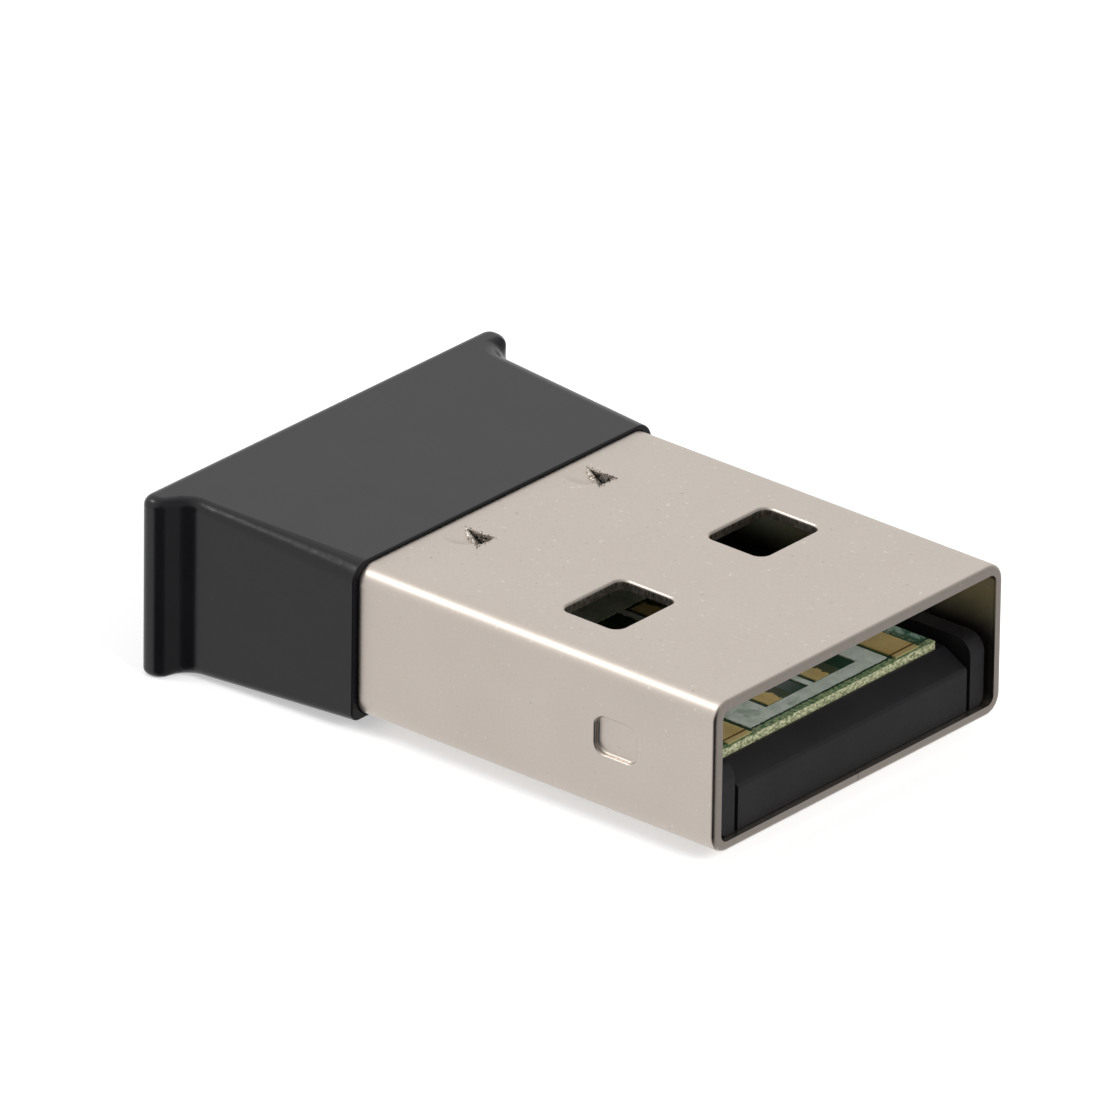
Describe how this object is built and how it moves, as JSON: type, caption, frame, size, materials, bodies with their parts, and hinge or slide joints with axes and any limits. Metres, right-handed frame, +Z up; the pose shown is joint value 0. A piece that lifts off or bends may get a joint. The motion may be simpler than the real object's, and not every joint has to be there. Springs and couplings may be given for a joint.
{
  "type": "wireless adapter",
  "caption": "Small plug-in wireless adapter: satin metal plug shell with latch windows, board on a black carrier, and a black cap that flares to coved grip lips.",
  "frame": {"origin": "under the middle of the adapter's length and width, on the surface it lies on", "axes": "+X out of the mouth of the plug, +Y across the plug towards its first contact, +Z up, on the contact side of the plug"},
  "size_m": [0.0194, 0.0144, 0.0054],
  "materials": {
    "plug_metal": "satin",
    "cap_plastic": "satin",
    "insert_plastic": "satin",
    "board_laminate": "glossy",
    "contact_gold": "polished",
    "aerial_copper": "satin",
    "chip_resin": "matte",
    "crystal_lid": "satin",
    "capacitor_ceramic": "satin",
    "resistor_glaze": "glossy"
  },
  "bodies": {
    "root": {"plug_shell": "plug_metal", "rear_cap": "cap_plastic", "rail_frame": "insert_plastic", "board_carrier": "insert_plastic", "circuit_board": "board_laminate", "contact_power": "contact_gold", "contact_data_a": "contact_gold", "contact_data_b": "contact_gold", "contact_ground": "contact_gold", "aerial_trace": "aerial_copper", "radio_chip": "chip_resin", "memory_chip": "chip_resin", "surge_guard": "chip_resin", "reference_crystal": "crystal_lid", "data_line_resistor_1": "resistor_glaze", "data_line_resistor_2": "resistor_glaze", "supply_bead": "resistor_glaze", "supply_capacitor": "capacitor_ceramic", "aerial_match_inductor": "capacitor_ceramic", "aerial_match_capacitor": "capacitor_ceramic", "decoupling_capacitor_1": "capacitor_ceramic", "decoupling_capacitor_2": "capacitor_ceramic", "decoupling_capacitor_3": "capacitor_ceramic", "decoupling_capacitor_4": "capacitor_ceramic", "crystal_load_capacitor_1": "capacitor_ceramic", "crystal_load_capacitor_2": "capacitor_ceramic"}
  },
  "joints": []
}
